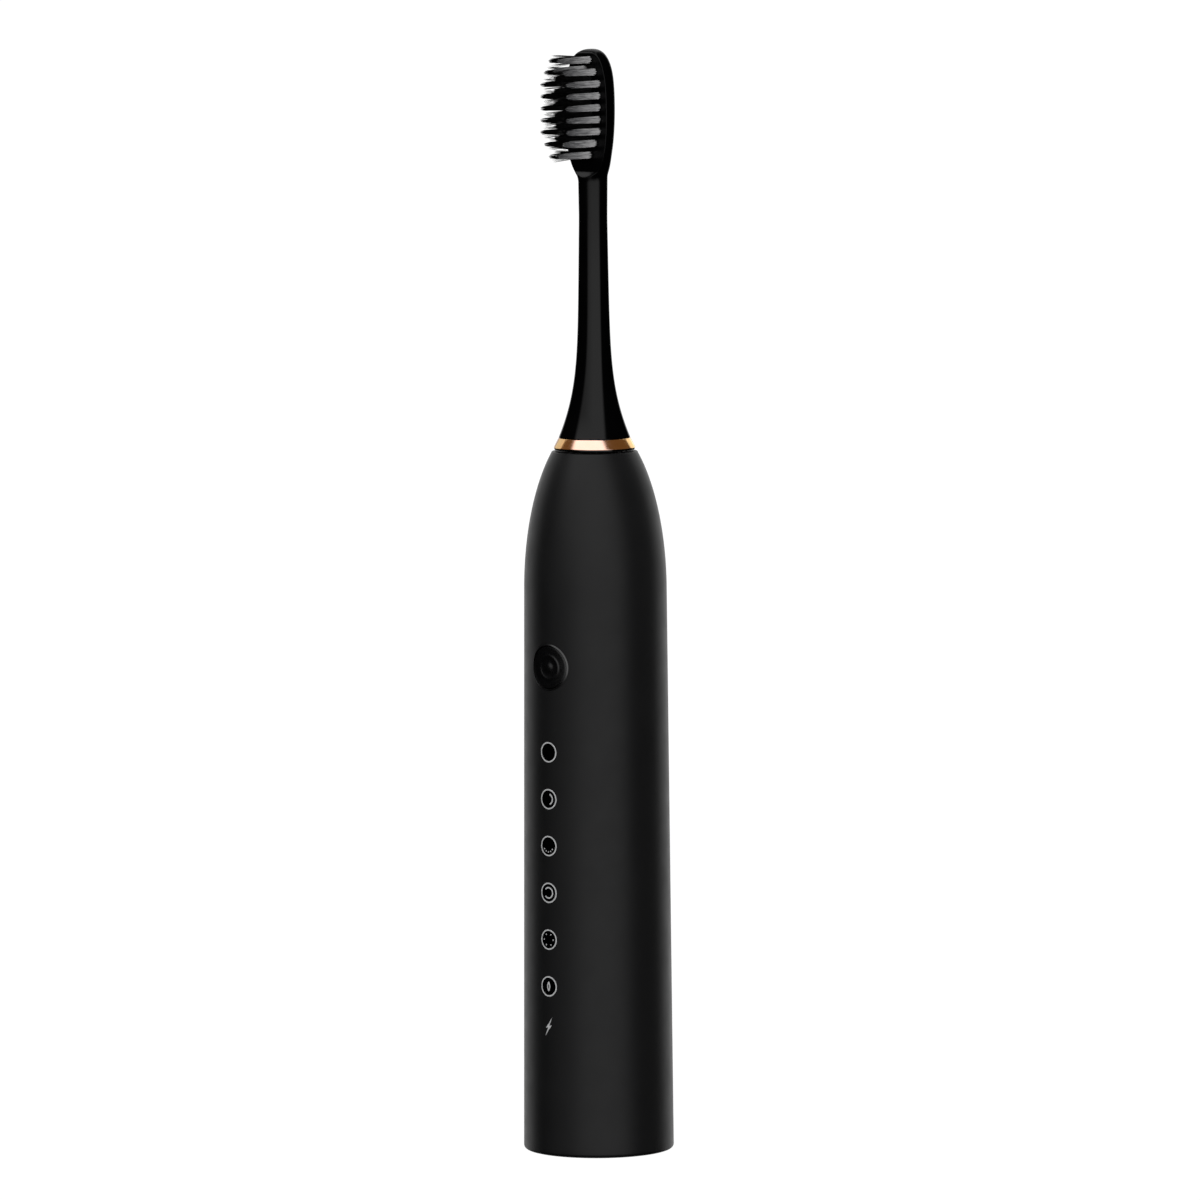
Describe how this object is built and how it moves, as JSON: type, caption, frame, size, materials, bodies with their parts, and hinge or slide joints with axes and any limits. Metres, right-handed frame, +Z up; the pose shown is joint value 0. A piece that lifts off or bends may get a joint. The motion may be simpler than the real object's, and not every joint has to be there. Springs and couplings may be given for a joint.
{
  "type": "electric toothbrush",
  "caption": "Upright sonic toothbrush: round soft-black handle with a power button and mode lights, polished accent ring and a removable brush head with dark bristles.",
  "frame": {"origin": "centre of the handle's base, on the surface that the toothbrush stands on", "axes": "+Z up along the handle to the brush head's tip; -Y is the front, where the button, mode lights and bristles face; +X is to the right of someone who looks at the front"},
  "size_m": [0.0302, 0.0302, 0.2212],
  "materials": {
    "soft_black": "soft-touch black, very fine grain",
    "light_window": "pale grey light window, flush with the shell",
    "button_black": "satin black",
    "seal_black": "matt black elastomer",
    "natural_plastic": "moulded natural acetal",
    "dark_plastic": "moulded dark grey plastic",
    "screw_steel": "zinc-plated steel",
    "case_steel": "drawn steel tube",
    "core_steel": "stacked electrical steel",
    "winding_copper": "enamelled copper wire",
    "bearing_bronze": "oil-filled sintered bronze",
    "magnet_nickel": "nickel-plated magnet",
    "board_green": "glass-epoxy board with a green mask",
    "chip_black": "moulded epoxy",
    "led_white": "white light-emitting diode",
    "baffle_white": "white moulded light guide",
    "contact_gold": "gold-coloured plunger",
    "cell_blue": "shrink-wrapped cell",
    "tab_nickel": "nickel strip",
    "pad_grey": "closed-cell foam",
    "ferrite": "sintered ferrite",
    "lead_red": "insulated wire",
    "seal_blue": "silicone ring",
    "shaft_steel": "ground stainless steel",
    "spring_steel": "spring steel",
    "gloss_black": "polished black",
    "rose_gold": "polished, anodised rose gold",
    "anchor_brass": "brass strip",
    "bristle_black": "charcoal nylon filaments"
  },
  "bodies": {
    "handle": {"handle_shell": "soft_black", "mode_icons": "light_window", "button_gasket": "seal_black", "shaft_seal": "seal_black", "seal_retainer": "natural_plastic", "inner_frame": "natural_plastic", "frame_screws": "screw_steel", "motor_case": "case_steel", "motor_rear_cap": "dark_plastic", "motor_front_cap": "dark_plastic", "stator_core": "core_steel", "stator_windings": "winding_copper", "front_bearing": "bearing_bronze", "rear_bearing": "bearing_bronze", "motor_dampers": "pad_grey", "motor_screws": "screw_steel", "motor_leads": "lead_red", "circuit_board": "board_green", "board_components": "chip_black", "board_screws": "screw_steel", "mode_leds": "led_white", "led_baffle": "baffle_white", "switch_body": "dark_plastic", "battery_cell": "cell_blue", "battery_tabs": "tab_nickel", "battery_pad": "pad_grey", "coil_bobbin": "natural_plastic", "charging_coil": "winding_copper", "shield_plate": "ferrite", "coil_leads": "lead_red", "bottom_cap": "soft_black", "cap_seal": "seal_blue"},
    "power_button": {"power_button": "button_black"},
    "switch_stem": {"switch_stem": "contact_gold"},
    "drive_unit": {"drive_shaft": "shaft_steel", "shaft_clip": "spring_steel", "rotor_core": "core_steel", "rotor_magnets": "magnet_nickel"},
    "brush_head": {"head_shell": "gloss_black", "accent_ring": "rose_gold", "shaft_socket": "natural_plastic", "retaining_clip": "spring_steel", "tuft_anchors": "anchor_brass", "tufts_tip": "bristle_black", "tufts_outer": "bristle_black", "tufts_inner": "bristle_black"}
  },
  "joints": [
    {"name": "power_button_press", "type": "slide", "parent": "handle", "child": "power_button", "axis": [0, 1, 0], "range_m": [0, 0.0004], "stiffness_N_per_m": 1500},
    {"name": "switch_press", "type": "slide", "parent": "handle", "child": "switch_stem", "axis": [0, 1, 0], "range_m": [0, 0.0004]},
    {"name": "shaft_oscillation", "type": "hinge", "parent": "handle", "child": "drive_unit", "pos_m": [0, 0, 0.107], "axis": [0, 0, 1], "range_deg": [-6, 6], "stiffness_Nm_per_rad": 0.1},
    {"name": "brush_head_release", "type": "slide", "parent": "drive_unit", "child": "brush_head", "axis": [0, 0, 1], "range_m": [0, 0.025]}
  ],
  "couplings": [
    {"joint": "switch_press", "follows": "power_button_press", "ratio": 1}
  ]
}
